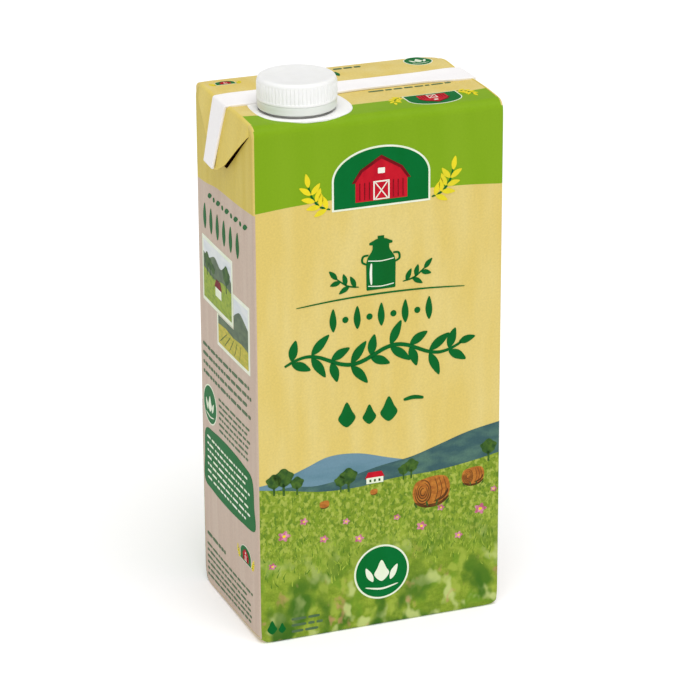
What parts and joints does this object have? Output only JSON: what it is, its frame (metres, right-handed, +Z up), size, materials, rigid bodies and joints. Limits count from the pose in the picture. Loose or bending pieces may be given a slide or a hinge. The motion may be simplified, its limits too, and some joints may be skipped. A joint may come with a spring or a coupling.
{
  "type": "milk carton",
  "caption": "Upright rectangular milk carton with a folded flat top, side ears and a white ribbed screw cap.",
  "frame": {"origin": "middle of the carton's base, on the surface it stands on", "axes": "+Z up, -Y out of the front panel, +X to the right as seen from the front"},
  "size_m": [0.101, 0.06, 0.2049],
  "materials": {
    "coated_board": "satin",
    "flange_plastic": "satin",
    "band_plastic": "satin",
    "cap_plastic": "satin"
  },
  "bodies": {
    "root": {"carton": "coated_board", "spout_flange": "flange_plastic", "tamper_band": "band_plastic", "cap": "cap_plastic"}
  },
  "joints": []
}
